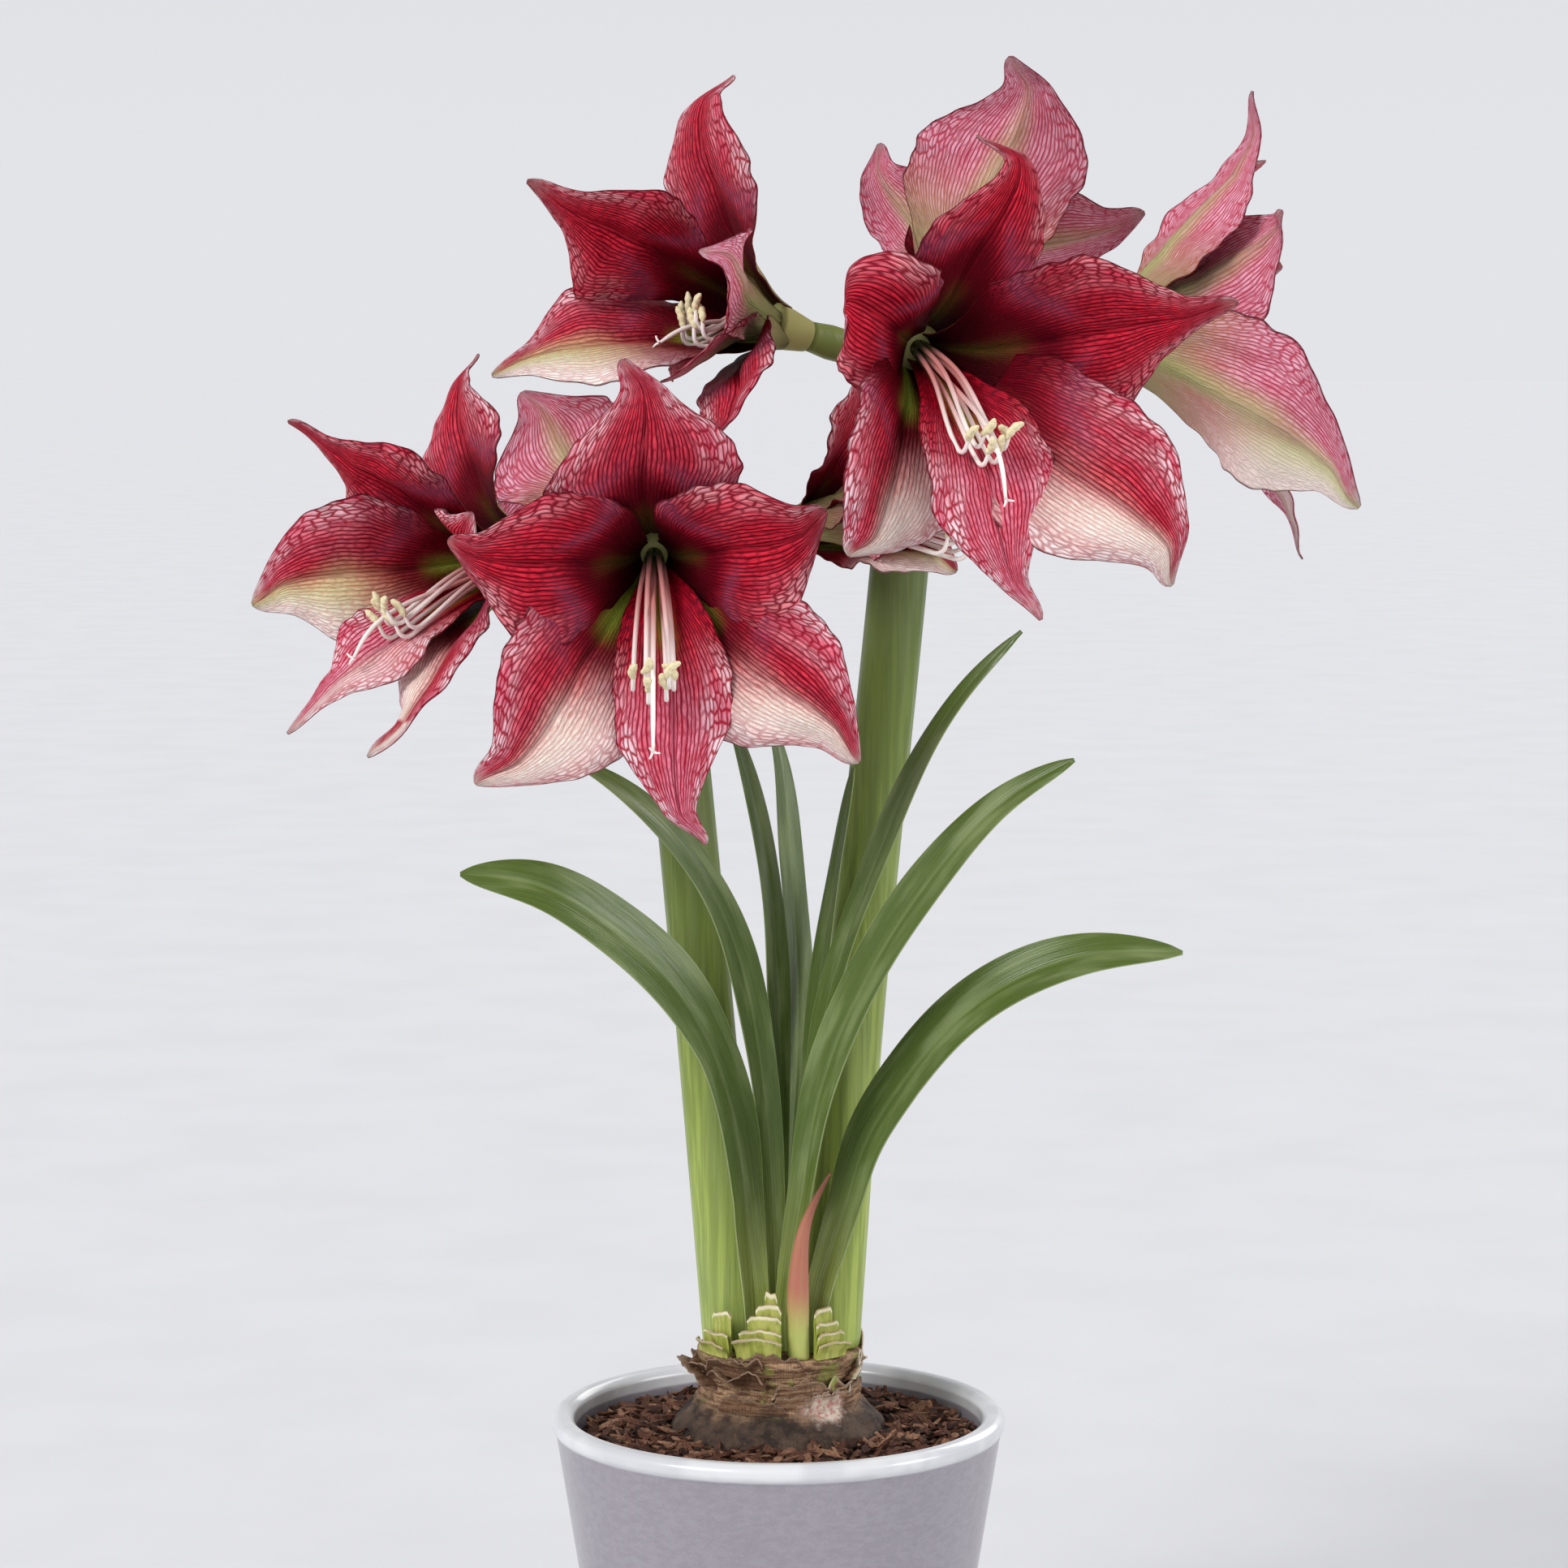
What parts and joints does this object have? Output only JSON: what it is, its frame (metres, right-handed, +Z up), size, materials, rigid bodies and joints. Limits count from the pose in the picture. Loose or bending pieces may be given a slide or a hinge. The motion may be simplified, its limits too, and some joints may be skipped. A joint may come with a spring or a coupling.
{
  "type": "amaryllis in a pot",
  "caption": "Flowering amaryllis grown from a bulb in a glazed tapered pot, with stout stems, trumpet blooms and strap leaves.",
  "frame": {"origin": "centre of the pot's flat base", "axes": "+Z up, -Y towards the side that the two front blooms face, +X to the viewer's right"},
  "size_m": [0.4212, 0.2758, 0.6983],
  "materials": {
    "pot_glaze": "glossy lilac-grey ceramic glaze with a paler rim",
    "bark_soil": "matt bark and coir chips",
    "bulb_skin": "dry papery brown skin",
    "cut_leaf_base": "fleshy green stump with a pale cut",
    "shoot_blush": "satin young shoot, blushed pink",
    "leaf_green": "satin green leaf with a waxy bloom",
    "stem_green": "satin green stem with a waxy bloom",
    "tepal_crimson": "velvety crimson petal with pale net and dark throat",
    "stamen_white": "satin white filament with pale yellow anther"
  },
  "bodies": {
    "root": {"pot": "pot_glaze", "soil": "bark_soil", "bulb": "bulb_skin", "leaf_base_left": "cut_leaf_base", "leaf_base_middle": "cut_leaf_base", "leaf_base_middle_tall": "cut_leaf_base", "leaf_base_right": "cut_leaf_base", "shoot_pink": "shoot_blush", "leaf_arching_left": "leaf_green", "leaf_leaning_left": "leaf_green", "leaf_upright_left": "leaf_green", "leaf_upright_dark": "leaf_green", "leaf_slim_upright": "leaf_green", "leaf_long_right": "leaf_green", "leaf_leaning_right": "leaf_green", "leaf_arching_right": "leaf_green", "leaf_inner_dark": "leaf_green", "stem_left": "stem_green", "stem_right": "stem_green", "tepals_left_front": "tepal_crimson", "stamens_left_front": "stamen_white", "tepals_right_front": "tepal_crimson", "stamens_right_front": "stamen_white", "tepals_left_side": "tepal_crimson", "stamens_left_side": "stamen_white", "tepals_right_side": "tepal_crimson", "stamens_right_side": "stamen_white", "tepals_right_back": "tepal_crimson", "stamens_right_back": "stamen_white", "tepals_right_far": "tepal_crimson", "stamens_right_far": "stamen_white", "tepals_left_back": "tepal_crimson", "stamens_left_back": "stamen_white", "tepals_left_far": "tepal_crimson", "stamens_left_far": "stamen_white"}
  },
  "joints": []
}
